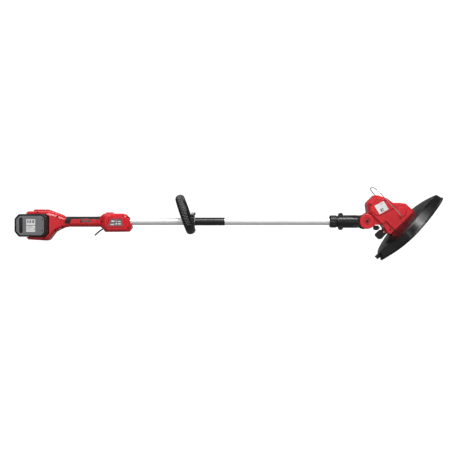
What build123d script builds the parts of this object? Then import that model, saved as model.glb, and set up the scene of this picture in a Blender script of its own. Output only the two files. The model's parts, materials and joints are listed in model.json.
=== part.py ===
from build123d import *
import os
from math import cos, hypot, pi, radians, sin, tan

# A cordless string trimmer. Millimetres. +X runs along the shaft from the handle to the head, +Z is up,
# and -Y is the operator's right. The origin is on the shaft's axis, at the front loop handle's clamp.

os.makedirs("parts", exist_ok=True)

# ---------------------------------------------------------------- driving dimensions
RUN = 0.05                    # radial running clearance of pins and sleeves
GAP = 0.3                     # clearance between pieces that move past each other

SHAFT_R = 12.5                # the 25 mm aluminium shaft
SHAFT_WALL = 1.5
SHAFT_REAR_X = -262           # the upper tube's rear end, inside the handle
SHAFT_JOINT_X = 66            # the two tubes meet here, inside the coupling sleeve
SHAFT_FRONT_X = 558           # the lower tube's front end, inside the yoke
COUPLER_X = (14, 118)
COUPLER_R = 13.9

# The rear handle as sections along X: (x, lowest z, highest z, half width, corner bevel).
HANDLE_SECTIONS = [
    (-575, -49, 26, 33, 6), (-563.5, -62.5, 35.7, 38, 9), (-500, -66.5, 36, 38, 10), (-493, -63, 36, 37, 10),
    (-473, -37.5, 31.5, 32, 10), (-453, -27, 23, 24, 9.5), (-440, -21.5, 17.4, 18, 9),
    (-427, -18.5, 17.2, 17, 9.5), (-330, -18.7, 17.2, 17, 9.5), (-316, -18.5, 18, 18.5, 9),
    (-304, -28, 27, 24, 8), (-298, -36.6, 27.8, 26, 8), (-235, -36.2, 27.8, 26, 8), (-226, -36, 24.3, 25.5, 7.5),
    (-219, -35.8, 16.4, 23, 6.5), (-215, -35.6, 14.8, 21, 6), (-211, -29, 9.3, 18, 5),
]
SPINE_OUTLINE = [
    (-549.8, 32), (-545.2, 42), (-499.4, 42), (-486.8, 37.8), (-453, 25.2), (-441, 19.6), (-439, 12), (-462, 16),
    (-478, 27), (-500, 31),
]
SIDE_PANEL_OUTLINE = [(-301, -32.5), (-217, -32.5), (-223, -10), (-230, 14), (-239, 21.5), (-273, 21.5), (-283, 13)]
WINDOW_OUTLINE = [(-285.4, -15.5), (-234.8, -15.5), (-241, 8), (-275.7, 8)]
WINDOW_FRAME = [(-291.5, -18.8), (-230, -18.8), (-237.8, 11.5), (-278.6, 11.5)]
BADGE_OUTLINE = [(-384, 7), (-378, 10.6), (-353, 10.6), (-346.5, 4), (-351, -1.8), (-378, -2)]
HANDLE_WALL = 3
PANEL_RISE = 5                # how far the side panels stand out from the front housing
PAD_DEPTH = 2                 # the soft grip pad's thickness
CAVITY_X = (-483, -227)       # the hollow of the handle, from the battery bay's wall to the nose

BATTERY_X = (-603.5, -491.5)
BATTERY_Z = (-52.7, 25.6)
BATTERY_Y = (-62, -10)        # the case; the base with its rails lies behind it
BATTERY_WALL = 4
BAY_GAP = 1.5                 # between the battery and the bay round it
BAY_BACK_Y = 5                # the bay's back wall
CELL_R = 9.15
CELL_LENGTH = 65

TRIGGER_PIVOT = (-292, -18)
TRIGGER_PIN_R = 2
LOCK_X = (-297.8, -270.2)
LOCK_HALF_Y = 8
LOCK_TOP_Z = 32.2
LOCK_LIP_Z = (22.2, 24.6)

LOOP_CENTRE = (-19.4, 24.1)   # (x, z) of the loop handle's middle
LOOP_LEAN = 19                # degrees that the loop leans back
LOOP_R = 72
LOOP_BAR_HALF = (11, 16)      # half the bar's oval section: across the loop's plane, and along its axis
BAND_HALF = 10                # half the width of the grip band let into the bar's outer face
BAND_DEPTH = 1.2
BAND_RISE = 0.6
BAND_END = -40                # how far below the loop's middle the band ends
CLAMP_X = (-15.5, 13)
CLAMP_BOLT_Y = 19
CLAMP_BOLT_X = 7.5

COLLAR_X = (484, 514)
COLLAR_R = 21.8
YOKE_X = (514.4, 584)
YOKE_R = 22.4
YOKE_TONGUE_HALF = 19.5       # half width of the tongue at the tilt pivot
YOKE_BOSS_X = 523
YOKE_BOSS_Z = 23.6

PIVOT_X = 611.5                 # the tilt pivot, on the shaft's axis
PIVOT_DISC_R = 26
PIVOT_DISC_HALF = 34          # half width over both discs
PIVOT_BOLT_R = 4

# The head is drawn in its own frame: s forward, y across, v up along the spool's axis, from the guard's deck.
HEAD_TILT = 45                # degrees that the head's s axis rises from the shaft at rest
PIVOT_S = -96
PIVOT_V = 88.5
HOUSING_HALF = 38
HOUSING_BEVEL = 6
HOUSING_WALL = 3
HOUSING_OUTLINE = [
    (-69, 0.2), (42, 0.2), (43, 11), (42, 38), (27, 57), (13, 71), (9, 98), (-5, 125), (-11.5, 133),
    (-46, 133.5), (-53.5, 130), (-71.5, 106), (-71.5, 48), (-66.5, 41.5), (-72.5, 13),
]
PANEL_OUTLINE = [
    (-52, 73), (4, 54), (6, 68), (2.5, 96), (-9.5, 120), (-15, 126.5), (-44, 127), (-49, 124.5), (-63, 104),
    (-60, 82),
]
HOUSING_PANEL_RISE = 2
STEP_S, STEP_V, STEP_HALF = -49, 46, 33   # the narrower rear foot of the housing
WIRE_BOSS_OUTLINE = [(-8, 13), (14, 11), (27, 19), (29, 34), (19, 44), (2, 39), (-8, 27)]
MOTOR_S = -31                 # the motor's axis; the spool's axis is at s = 0
MOTOR_R = 21
MODULE = 1.0                  # gear module: 12 and 50 teeth make the 31 mm between the axes
PINION_TEETH = 12
GEAR_TEETH = 50

GUARD_RIM_V = -46
GUARD_WALL = 3
GUARD_FLARE = tan(radians(15))
# The guard's plan at its rim, (s, y): round the closed side from the front tip to the far rear corner.
GUARD_PLAN = [
    (153, 6), (134, -32), (82, -84), (25, -122), (-40, -137), (-93, -106), (-129, -52), (-151, 0), (-139, 46),
    (-107, 88), (-58, 124),
]
GUARD_OPEN_EDGE = [(-44, 118), (54, 62), (150, 23)]

SPOOL_R = 44
SPOOL_V = (-56, -14)
KNOB_R = 21
SPINDLE_R = 4
SPINDLE_END_V = -49

WIRE_R = 1.5
WIRE_Y = 60
WIRE_PIVOT = (-2, 22)         # (s, v)
WIRE_REACH = 135

PEDAL_PIVOT = (-79, 20)
PEDAL_HALF = 12
PEDAL_PIN_HALF = 17.5


# ---------------------------------------------------------------- shapes
def plate(points, y_low, y_high, rounding=0):
    """A side outline of (x, z) points, carried across from y_low to y_high."""
    face = make_face(Polyline(*points, close=True))
    if rounding:
        face = fillet(face.vertices(), rounding)
    return extrude(Plane.XZ.offset(-y_high) * face, y_high - y_low, dir=(0, -1, 0))


def block(x, y, z):
    """A box from (low, high) pairs."""
    size = (x[1] - x[0], y[1] - y[0], z[1] - z[0])
    middle = ((x[0] + x[1]) / 2, (y[0] + y[1]) / 2, (z[0] + z[1]) / 2)
    return Pos(*middle) * Box(*size)


def rod(start, end, radius):
    """A round bar from one point to another."""
    start, end = Vector(*start), Vector(*end)
    return extrude(Plane(start, z_dir=end - start) * Circle(radius), (end - start).length)


def tube(start, end, outer, inner):
    return rod(start, end, outer) - rod(start, end, inner)


def turned(profile, base, axis):
    """A profile of (radius, height) points, turned about an axis through base."""
    face = make_face(Polyline(*[(r, 0, h) for r, h in profile], close=True))
    return Plane(base, z_dir=axis).location * revolve(face, Axis.Z, 360)


def bevelled_plate(points, half, bevel):
    """A plate across the parting plane, its edges bevelled at 45 degrees on both sides."""
    slab = half - bevel
    body = plate(points, -slab, slab)
    for side in (-1, 1):
        face = Plane.XZ.offset(-side * slab) * make_face(Polyline(*points, close=True))
        body += extrude(face, bevel, dir=(0, side, 0), taper=45)
    return body


def section(x, low, high, half, bevel):
    """One cross-section of the handle: a rectangle with bevelled corners, each bevel's own ends cut once more."""
    rise = (high - low) / 2
    cut = bevel / 4
    quarter = [
        (half, rise - bevel - cut), (half - cut, rise - bevel + cut), (half - bevel + cut, rise - cut),
        (half - bevel - cut, rise)]
    top = quarter + [(-y, z) for y, z in reversed(quarter)]
    ring = top + [(y, -z) for y, z in reversed(top)]
    plane = Plane((x, 0, (low + high) / 2), x_dir=(0, 1, 0), z_dir=(1, 0, 0))
    return plane * make_face(Polyline(*ring, close=True))


def handle_form(inset):
    """The handle's sections joined by ruled faces, every section smaller by inset."""
    shrink = inset * (2 - 2 ** 0.5)
    faces = []
    for x, low, high, half, bevel in HANDLE_SECTIONS:
        faces.append(section(x, low + inset, high - inset, half - inset, bevel - shrink))
    return loft(faces, ruled=True)


def half_space(side, reach=900):
    """Everything on the right (-1) or the left (1) of the parting plane."""
    return block((-reach, reach), sorted((0, side * reach)), (-reach, reach))


def screw(x, z, y_head, length, radius=1.6, head=3.1):
    """A screw along +Y with its head at y_head."""
    shank = rod((x, y_head + 2, z), (x, y_head + length, z), radius)
    cap = rod((x, y_head, z), (x, y_head + 2.2, z), head)
    slot = block((x - 2, x + 2), (y_head - 1, y_head + 1), (z - 0.4, z + 0.4))
    cross = block((x - 0.4, x + 0.4), (y_head - 1, y_head + 1), (z - 2, z + 2))
    return cap + shank - slot - cross


def head_frame(shape):
    """Move a shape from the head's own frame into the trimmer's."""
    return HEAD.location * shape


tilt = radians(HEAD_TILT)
head_x = PIVOT_X - PIVOT_S * cos(tilt) + PIVOT_V * sin(tilt)
head_z = -PIVOT_S * sin(tilt) - PIVOT_V * cos(tilt)
HEAD = Plane((head_x, 0, head_z), x_dir=(cos(tilt), 0, sin(tilt)), z_dir=(-sin(tilt), 0, cos(tilt)))

nodes = {}

# ---------------------------------------------------------------- rear handle
# (x, z, y of the surface) of the screws that close the two shells
SHELL_SCREWS = [
    (-530.3, 31.7, -33), (-462.3, 16.2, -27), (-445.5, -19, -15.5), (-382.1, -1.3, -17), (-308.3, -0.5, -22),
    (-296.5, -29, -28), (-234.2, 18.5, -26), (-217.7, 14.3, -18), (-217, -22, -22), (-508.5, -60, -34),
]
SCREW_DEPTH = 4
SCREW_LENGTH = 12

outside = handle_form(0)
skin = outside - handle_form(PAD_DEPTH)
inside = handle_form(HANDLE_WALL) & block(CAVITY_X, (-60, 60), (-80, 60))
outside += bevelled_plate(SPINE_OUTLINE, 17, 3)
side_panel_half = 26 + PANEL_RISE
outside += bevelled_plate(SIDE_PANEL_OUTLINE, side_panel_half, PANEL_RISE)
bay_front, bay_low, bay_high = BATTERY_X[1] + 2, BATTERY_Z[0] - BAY_GAP, BATTERY_Z[1] + BAY_GAP
bay = plate(
    [(-640, bay_low), (bay_front - 13, bay_low), (bay_front, bay_low + 11.5), (bay_front, bay_high - 10),
     (bay_front - 11, bay_high), (-640, bay_high)], -90, BAY_BACK_Y)
chamber = block((-566, -500), (BAY_BACK_Y + 3, 34), (-50, 24))
pad_region = plate(
    [(-434.3, 30), (-434.3, 16), (-440.6, -7.4), (-421, -7.4), (-417.6, 4), (-414, 7.5), (-317, 7.5), (-317, 30)],
    -40, 40)
chin = plate(
    [(-219, -35.8), (-215.4, -35.8), (-205, -22.6), (-205, -17.3), (-210.2, -6.6), (-226, -6.6), (-226, -35.8)],
    -15, 15)

shell = outside + chin - inside - bay - chamber
shell -= rod((-230, 0, 0), (-200, 0, 0), SHAFT_R)
shell -= skin & pad_region

# the collar inside the housing that holds the tube's rear end
shaft_seat = block((-259, -253), (-26, 26), (-32, 24)) & handle_form(HANDLE_WALL - 0.5)
shell += shaft_seat - rod((-270, 0, 0), (-240, 0, 0), SHAFT_R)

for x, z, y in SHELL_SCREWS:
    boss = rod((x, y + 1.5, z), (x, y + 13.5, z), 4.4)
    if CAVITY_X[0] < x < CAVITY_X[1]:
        shell += boss & outside
    shell -= rod((x, y - 4, z), (x, y + SCREW_DEPTH, z), 3.2)
    shell -= rod((x, y, z), (x, y + SCREW_DEPTH + SCREW_LENGTH, z), 1.65)

# cooling slots in the underside behind the battery bay
for i in range(3):
    x = -470 + 7 * i
    shell -= block((x - 1.7, x + 1.7), (-40, 40), (-50, -27 + 3.5 * i))

# the opening for the lock-off button and the trigger
shell -= block((LOCK_X[0] - 0.5, LOCK_X[1] + 0.5), (-LOCK_HALF_Y - 0.5, LOCK_HALF_Y + 0.5), (20, 40))
shell -= block((-324, -299), (-6.2, 6.2), (-45, -14))

# bosses that hold the trigger's pin
pivot_x, pivot_z = TRIGGER_PIVOT
for side in (-1, 1):
    pin_boss = rod((pivot_x, side * 7, pivot_z), (pivot_x, side * 27.5, pivot_z), 4.5)
    shell += pin_boss - rod((pivot_x, -30, pivot_z), (pivot_x, 30, pivot_z), TRIGGER_PIN_R)

nodes["handle_shell_right"] = shell & half_space(-1)
nodes["handle_shell_left"] = shell & half_space(1)
nodes["grip_pad"] = skin & pad_region
nodes["shell_screws"] = Compound([
    screw(x, z, y + SCREW_DEPTH - 2.2, SCREW_LENGTH, 1.6, 3.1) for x, z, y in SHELL_SCREWS])

# blank plates: the window in its raised frame on the front housing, and the badge on the grip
frame_y = -side_panel_half - 1.4
window_frame = plate(WINDOW_FRAME, frame_y, -side_panel_half + 1, 1.5)
window = plate(WINDOW_OUTLINE, -side_panel_half - 0.8, -side_panel_half + 0.4, 1.5)
window_well = plate(WINDOW_OUTLINE, frame_y - 1, -side_panel_half + 0.4, 1.5)
nodes["window_plate"] = window
nodes["handle_shell_right"] += window_frame
nodes["handle_shell_right"] -= window_well
badge = plate(BADGE_OUTLINE, -17.9, -14, 1.2)
nodes["grip_badge"] = badge
nodes["handle_shell_right"] -= badge
nodes["grip_pad"] -= badge

# electrics inside the handle
TERMINAL_Y = (-30, -14)
TERMINAL_Z = (-26, -14, -2)
terminals = block((bay_front - 0.8, bay_front + 4), (TERMINAL_Y[0] - 2, TERMINAL_Y[1] + 2), (-32, 4))
nodes["handle_shell_right"] -= terminals
for z in TERMINAL_Z:
    terminals += block((BATTERY_X[1] - 8, bay_front), TERMINAL_Y, (z - 0.5, z + 0.5))
nodes["terminal_block"] = terminals
board = block((-560, -504), (18, 20), (-44, 18))
for x, z, size in [(-550, -30, 9), (-535, -30, 9), (-520, -30, 9), (-548, 2, 12), (-520, 4, 8)]:
    board += block((x - size / 2, x + size / 2), (12, 18), (z - size / 2, z + size / 2))
nodes["control_board"] = board
switch = block((-284, -263), (-9, 9), (-15, 4)) + rod((-284, 0, -8), (-286, 0, -8), 2)
nodes["trigger_switch"] = switch
nodes["trigger_pin"] = rod((pivot_x, -16, pivot_z), (pivot_x, 16, pivot_z), TRIGGER_PIN_R)
nodes["trigger_spring"] = tube((pivot_x, 5.4, pivot_z), (pivot_x, 6.8, pivot_z), 4.2, 2.5)

trigger_arc = ThreePointArc((-294, -19), (-316, -31), (-336, -48.5))
arm = trace(trigger_arc, 4.4)
arm = Plane.XZ.offset(-5.2) * arm
arm = extrude(arm, 10.4, dir=(0, -1, 0))
hub = rod((pivot_x, -5.2, pivot_z), (pivot_x, 5.2, pivot_z), 4.8)
nose = block((pivot_x - 2, pivot_x + 2), (-4, 4), (pivot_z, pivot_z + 10))
trigger = arm + hub + nose - rod((pivot_x, -9, pivot_z), (pivot_x, 9, pivot_z), TRIGGER_PIN_R + RUN)
nodes["trigger"] = trigger

# lock-off button: a block with a rounded top in a slot, on a stem over its spring
lock_middle = (LOCK_X[0] + LOCK_X[1]) / 2
button = block(LOCK_X, (-LOCK_HALF_Y, LOCK_HALF_Y), (LOCK_LIP_Z[1], LOCK_TOP_Z))
button = fillet(button.edges().group_by(Axis.Z)[-1], 2.4)
for i in range(5):
    x = lock_middle - 8 + 4 * i
    button -= block((x - 0.6, x + 0.6), (-5, 5), (LOCK_TOP_Z - 0.7, LOCK_TOP_Z + 1))
lip = block((LOCK_X[0] - 1.5, LOCK_X[1] + 1.5), (-LOCK_HALF_Y - 2, LOCK_HALF_Y + 2), LOCK_LIP_Z)
stem = rod((lock_middle, 0, 11), (lock_middle, 0, LOCK_LIP_Z[0]), 3)
nodes["lock_button"] = button + lip + stem
nodes["lock_spring"] = tube((lock_middle, 0, 4.2), (lock_middle, 0, LOCK_LIP_Z[0] - 0.1), 5, 3.8)

# ---------------------------------------------------------------- battery
rear_x, front_x = BATTERY_X
low_z, high_z = BATTERY_Z
case_outline = [
    (rear_x, low_z + 17), (rear_x + 15, low_z), (front_x - 12.5, low_z), (front_x, low_z + 11),
    (front_x, high_z - 11), (front_x - 11, high_z), (rear_x + 15, high_z), (rear_x, high_z - 16)]
case = plate(case_outline, *BATTERY_Y, 10)
case = fillet(case.faces().sort_by(Axis.Y)[0].edges(), 4)
room_face = offset(fillet(make_face(Polyline(*case_outline, close=True)).vertices(), 10), -BATTERY_WALL)
cell_room = extrude(Plane.XZ.offset(-BATTERY_Y[1]) * room_face, 48, dir=(0, -1, 0))
case -= cell_room
RELEASE_Y = (-42, -24)
RELEASE_Z = (-27, 1)
RELEASE_DEPTH = 9
release_x = (rear_x - 4, rear_x + RELEASE_DEPTH + 2)
case -= block(release_x, (RELEASE_Y[0] - 0.4, RELEASE_Y[1] + 0.4), (RELEASE_Z[0] - 0.4, RELEASE_Z[1] + 0.4))
for z in TERMINAL_Z:
    case -= block((front_x - 9, front_x + 4), (TERMINAL_Y[0] - 0.6, TERMINAL_Y[1] + 0.6), (z - 1.2, z + 1.2))
cover_outline = [
    (-596, low_z + 19), (-583, low_z + 5.5), (-511, low_z + 5.5), (-502, low_z + 14), (-502, high_z - 15),
    (-511, high_z - 6.5), (-584, high_z - 6.5), (-596, high_z - 18)]
COVER_Y = -63.4
cover = plate(cover_outline, COVER_Y, BATTERY_Y[0], 6)
finger = Pos(-580.5, -63, -13.6) * Rot(90, 0, 0) * extrude(RectangleRounded(12, 53, 5), 6, both=True)
cover -= finger & block((-610, -500), (-70, BATTERY_Y[0] + 0.01), (-60, 40))
nodes["battery_case"] = case - (finger & block((-610, -500), (-66, -60.5), (-60, 40)))
base = block((rear_x + 9, front_x - 5), (BATTERY_Y[1], -2), (low_z + 6, high_z - 7))
for z in (-38, 10):
    base += block((rear_x + 17, front_x - 7), (-2, 2.5), (z - 2.5, z + 2.5))
    base += block((rear_x + 17, front_x - 7), (1, 3.5), (z - 4.5, z + 4.5))
nodes["battery_base"] = base
cells = []
for row_y in (-47.5, -28.8):
    for i in range(4):
        x = -577 + 19 * i
        cells.append(rod((x, row_y, -46.2), (x, row_y, -46.2 + CELL_LENGTH), CELL_R))
nodes["battery_cells"] = Compound(cells)
label = block((-562, -531.3), (COVER_Y, -63), (-35.9, -14.6)) + block((-562, -531.3), (COVER_Y, -63), (-12.4, 7.3))
nodes["battery_label"] = label
nodes["battery_cover"] = cover - label
BATTERY_SCREWS = [(-507, 6.5), (-507, -31.6)]
nodes["battery_screws"] = Compound([screw(x, z, COVER_Y + 0.3, 4.2, 1.2, 2.2) for x, z in BATTERY_SCREWS])
for x, z in BATTERY_SCREWS:
    nodes["battery_cover"] -= rod((x, COVER_Y - 1, z), (x, -61, z), 2.4)
    nodes["battery_case"] -= rod((x, -63, z), (x, COVER_Y + 2.6, z), 2.4)
    nodes["battery_case"] -= rod((x, -63, z), (x, -57, z), 1.25)
release = block((rear_x, rear_x + RELEASE_DEPTH), RELEASE_Y, RELEASE_Z)
release = fillet(release.edges().filter_by(Axis.Z).group_by(Axis.X)[0], 1.5)
for i in range(4):
    z = -22 + 6 * i
    release -= block((rear_x - 1, rear_x + 0.8), (RELEASE_Y[0] + 3, RELEASE_Y[1] - 3), (z - 1, z + 1))
nodes["battery_release"] = release

# ---------------------------------------------------------------- shaft
bore = SHAFT_R - SHAFT_WALL
nodes["upper_shaft"] = tube((SHAFT_REAR_X, 0, 0), (SHAFT_JOINT_X, 0, 0), SHAFT_R, bore)
nodes["lower_shaft"] = tube((SHAFT_JOINT_X, 0, 0), (SHAFT_FRONT_X, 0, 0), SHAFT_R, bore)
coupler = turned(
    [(SHAFT_R, 0), (13.2, 0), (COUPLER_R, 1.5), (COUPLER_R, 100), (13.4, 104), (SHAFT_R, 104)],
    (COUPLER_X[0], 0, 0), (1, 0, 0))
nodes["shaft_coupler"] = coupler
nodes["shaft_joiner"] = tube((SHAFT_JOINT_X - 40, 0, 0), (SHAFT_JOINT_X + 40, 0, 0), bore, bore - 2)
nodes["power_lead"] = rod((SHAFT_REAR_X + 4, 0, 0), (SHAFT_FRONT_X - 4, 0, 0), 3.5)

# ---------------------------------------------------------------- loop handle
lean = radians(LOOP_LEAN)
LOOP = Plane(
    (LOOP_CENTRE[0], 0, LOOP_CENTRE[1]), x_dir=(-sin(lean), 0, cos(lean)), z_dir=(cos(lean), 0, sin(lean)))


def loop_bar(step):
    """The loop's bar: an oval section carried round the loop's middle, its surface moved out by the step."""
    section = Ellipse(LOOP_BAR_HALF[0] + step, LOOP_BAR_HALF[1] + step)
    return revolve(Pos(LOOP_R - LOOP_BAR_HALF[0], 0, 0) * Rot(90, 0, 0) * section, Axis.Z, 360)


reach = LOOP_R + 5
band_room = block((BAND_END, reach), (-reach, reach), (-BAND_HALF, BAND_HALF))
band_room -= Cylinder(LOOP_R - LOOP_BAR_HALF[0], 4 * BAND_HALF)
band = (loop_bar(BAND_RISE) - loop_bar(-BAND_DEPTH)) & band_room
groove = (loop_bar(2) - loop_bar(-BAND_DEPTH)) & band_room
ring = LOOP.location * (loop_bar(0) - groove)
nodes["loop_band"] = LOOP.location * band

saddle = block(CLAMP_X, (-25, 25), (-17, -0.2))
saddle = fillet(saddle.edges().filter_by(Axis.X).group_by(Axis.Z)[0], 5)
web = plate([(-15.5, -15), (12.5, -15), (12, -33), (-4, -34), (-12, -26)], -17, 17)
bolt_hole = Compound([
    rod((CLAMP_BOLT_X, side * CLAMP_BOLT_Y, -40), (CLAMP_BOLT_X, side * CLAMP_BOLT_Y, 40), 2.6)
    for side in (-1, 1)])
shaft_hole = rod((-60, 0, 0), (60, 0, 0), SHAFT_R + RUN)
nodes["loop_handle"] = ring + saddle + web - shaft_hole - bolt_hole
cap = block(CLAMP_X, (-25, 25), (0.2, 17))
cap = fillet(cap.edges().filter_by(Axis.X).group_by(Axis.Z)[-1], 5)
flange = plate([(-17, 17), (13, 17), (13, 24), (11.5, 25), (-12, 25)], -25, 5.5)
nodes["clamp_cap"] = cap + flange - shaft_hole - bolt_hole
nodes["clamp_bolts"] = Compound([
    rod((CLAMP_BOLT_X, -CLAMP_BOLT_Y, -16.8), (CLAMP_BOLT_X, -CLAMP_BOLT_Y, 25), 2.5)
    + extrude(Pos(CLAMP_BOLT_X, -CLAMP_BOLT_Y, 25) * RegularPolygon(5.2, 6), 6.5),
    rod((CLAMP_BOLT_X, CLAMP_BOLT_Y, -16.8), (CLAMP_BOLT_X, CLAMP_BOLT_Y, 26), 2.5),
])
knob_base = Pos(CLAMP_BOLT_X, CLAMP_BOLT_Y, 17.4)
knob = knob_base * Cylinder(5, 14.6, align=(Align.CENTER, Align.CENTER, Align.MIN))
for i in range(5):
    lobe = knob_base * Rot(0, 0, 72 * i) * Pos(4.6, 0, 5)
    knob += lobe * Cylinder(3, 9.6, align=(Align.CENTER, Align.CENTER, Align.MIN))
knob -= rod((CLAMP_BOLT_X, CLAMP_BOLT_Y, 10), (CLAMP_BOLT_X, CLAMP_BOLT_Y, 26.5), 2.5 + RUN)
nodes["clamp_knob"] = knob

# ---------------------------------------------------------------- lock collar and yoke
collar_profile = [
    (SHAFT_R + RUN, 0), (17, 0), (COLLAR_R, 3.5), (COLLAR_R, 23), (19.5, 26), (19.5, 29.6), (SHAFT_R + RUN, 29.6)]
collar = turned(collar_profile, (COLLAR_X[0], 0, 0), (1, 0, 0))
FLUTES = 16
for i in range(FLUTES):
    angle = 2 * pi * i / FLUTES
    y, z = (COLLAR_R + 1.2) * cos(angle), (COLLAR_R + 1.2) * sin(angle)
    collar -= rod((COLLAR_X[0] + 4.5, y, z), (COLLAR_X[0] + 22, y, z), 2.2)
nodes["lock_collar"] = collar

yoke = rod((YOKE_X[0], 0, 0), (YOKE_X[1] - 4, 0, 0), YOKE_R)
for side in (-1, 1):
    z = side * YOKE_BOSS_Z
    yoke += rod((YOKE_BOSS_X, -17, z), (YOKE_BOSS_X, 17, z), 6.3)
    yoke += block((YOKE_BOSS_X - 6.3, YOKE_BOSS_X + 6.3), (-17, 17), sorted((side * 14, z)))
tongue = block((YOKE_X[1] - 20, PIVOT_X), (-YOKE_TONGUE_HALF, YOKE_TONGUE_HALF), (-21.5, 21.5))
tongue += rod((PIVOT_X, -YOKE_TONGUE_HALF, 0), (PIVOT_X, YOKE_TONGUE_HALF, 0), 21.5)
latch_step = plate([(588, -18), (606, -18), (604.5, -27.5), (592, -24)], -12, 12)
yoke += tongue + latch_step
yoke -= rod((YOKE_X[0] - 1, 0, 0), (SHAFT_FRONT_X + 2, 0, 0), SHAFT_R + RUN)
yoke -= rod((PIVOT_X, -40, 0), (PIVOT_X, 40, 0), PIVOT_BOLT_R + RUN)
yoke_screws = []
for side in (-1, 1):
    z = side * YOKE_BOSS_Z
    yoke -= rod((YOKE_BOSS_X, -18, z), (YOKE_BOSS_X, -13.5, z), 3.4)
    yoke -= rod((YOKE_BOSS_X, -18, z), (YOKE_BOSS_X, 10, z), 1.65)
    yoke_screws.append(screw(YOKE_BOSS_X, z, -15.7, 20))
nodes["yoke_right"] = yoke & half_space(-1)
nodes["yoke_left"] = yoke & half_space(1)
nodes["yoke_screws"] = Compound(yoke_screws)


# ---------------------------------------------------------------- motor housing, in the head's frame
# the outline runs on below the deck, so that the bevel round the sides leaves the deck's edge square
deep_outline = [(s, -15) if v < 1 else (s, v) for s, v in HOUSING_OUTLINE]
body = bevelled_plate(deep_outline, HOUSING_HALF, HOUSING_BEVEL)
for outline in (PANEL_OUTLINE, WIRE_BOSS_OUTLINE):
    body += bevelled_plate(outline, HOUSING_HALF + HOUSING_PANEL_RISE, HOUSING_PANEL_RISE)
for side in (-1, 1):
    body -= block((-80, STEP_S), sorted((side * STEP_HALF, side * 60)), (-20, STEP_V))
body = body & block((-100, 100), (-60, 60), (0.2, 140))
inner_face = offset(make_face(Polyline(*HOUSING_OUTLINE, close=True)), -HOUSING_WALL)
inner_half = STEP_HALF - HOUSING_WALL
hollow = extrude(Plane.XZ.offset(-inner_half) * inner_face, 2 * inner_half, dir=(0, -1, 0))
cheek_outline = [
    (PIVOT_S, PIVOT_V + 25.5), (-62, 106), (-62, 46), (-67, 43), (-84, 60), (PIVOT_S, PIVOT_V - 25.5)]
cheeks = None
for side in (-1, 1):
    low, high = sorted((side * (YOKE_TONGUE_HALF + GAP), side * PIVOT_DISC_HALF))
    near, far = sorted((side * (YOKE_TONGUE_HALF + GAP), side * (PIVOT_DISC_HALF - 3)))
    disc = rod((PIVOT_S, low, PIVOT_V), (PIVOT_S, high, PIVOT_V), PIVOT_DISC_R)
    disc = fillet(disc.edges().sort_by(Axis.Y)[0 if side < 0 else -1], 2.5)
    face_y = side * PIVOT_DISC_HALF
    annulus = tube((PIVOT_S, face_y - side * 2, PIVOT_V), (PIVOT_S, face_y + side, PIVOT_V), 13, 8.2)
    bolt_well = rod((PIVOT_S, face_y - side * 5, PIVOT_V), (PIVOT_S, face_y + side, PIVOT_V), 5.4)
    cheek = plate(cheek_outline, near, far) + disc - annulus - bolt_well
    cheeks = cheek if cheeks is None else cheeks + cheek
tongue_room = rod((PIVOT_S, -YOKE_TONGUE_HALF - GAP, PIVOT_V), (PIVOT_S, YOKE_TONGUE_HALF + GAP, PIVOT_V), 22.3)
bolt_bore = rod((PIVOT_S, -60, PIVOT_V), (PIVOT_S, 60, PIVOT_V), PIVOT_BOLT_R)
housing = body + cheeks - hollow - tongue_room - bolt_bore
panel_y = -HOUSING_HALF - HOUSING_PANEL_RISE
sticker = plate([(-41.6, 110), (-7, 99.5), (-14.5, 66.9), (-49, 76)], panel_y - 0.2, panel_y + 0.3, 1)
housing -= sticker
for side in (-1, 1):
    housing -= rod((WIRE_PIVOT[0], side * 33, WIRE_PIVOT[1]), (WIRE_PIVOT[0], side * 60, WIRE_PIVOT[1]),
                   WIRE_R + RUN)
# (s, v, y of the surface)
HOUSING_SCREWS = [
    (-48.5, 121.5, panel_y), (-1, 97, panel_y), (4, 60, -HOUSING_HALF), (-60, 12, -STEP_HALF)]
housing_screws = []
for s, v, y in HOUSING_SCREWS:
    housing += rod((s, y + 3, v), (s, y + 17, v), 4.4) & body
    housing -= rod((s, y - 4, v), (s, y + 4, v), 3.3)
    housing -= rod((s, y, v), (s, y + 16, v), 1.65)
    housing_screws.append(screw(s, v, y + 1.8, 12))
# the opening for the spindle, and lugs that carry the pedal's pin
housing -= rod((0, 0, -3), (0, 0, 8), 13)
for side in (-1, 1):
    low, high = sorted((side * (PEDAL_HALF + 0.5), side * PEDAL_PIN_HALF))
    housing += plate([(-70, 8), (-70, 30), (-79, 25), (-83.5, 20), (-79, 14)], low, high)
housing -= rod((PEDAL_PIVOT[0], -30, PEDAL_PIVOT[1]), (PEDAL_PIVOT[0], 30, PEDAL_PIVOT[1]), 2)

nodes["motor_housing_right"] = head_frame(housing & half_space(-1))
nodes["motor_housing_left"] = head_frame(housing & half_space(1))
nodes["housing_screws"] = head_frame(Compound(housing_screws))
nodes["housing_label"] = head_frame(sticker)
bolt_end = PIVOT_DISC_HALF - 5
pivot_bolt = rod((PIVOT_S, -bolt_end, PIVOT_V), (PIVOT_S, bolt_end, PIVOT_V), PIVOT_BOLT_R)
for side in (-1, 1):
    hex_well = extrude(Plane((PIVOT_S, side * bolt_end, PIVOT_V), z_dir=(0, side, 0)) * Circle(5.3), 3.5)
    key = extrude(Plane((PIVOT_S, side * (bolt_end + 1), PIVOT_V), z_dir=(0, side, 0)) * RegularPolygon(3, 6), 3)
    pivot_bolt += hex_well - key
nodes["pivot_bolt"] = head_frame(pivot_bolt)

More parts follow.
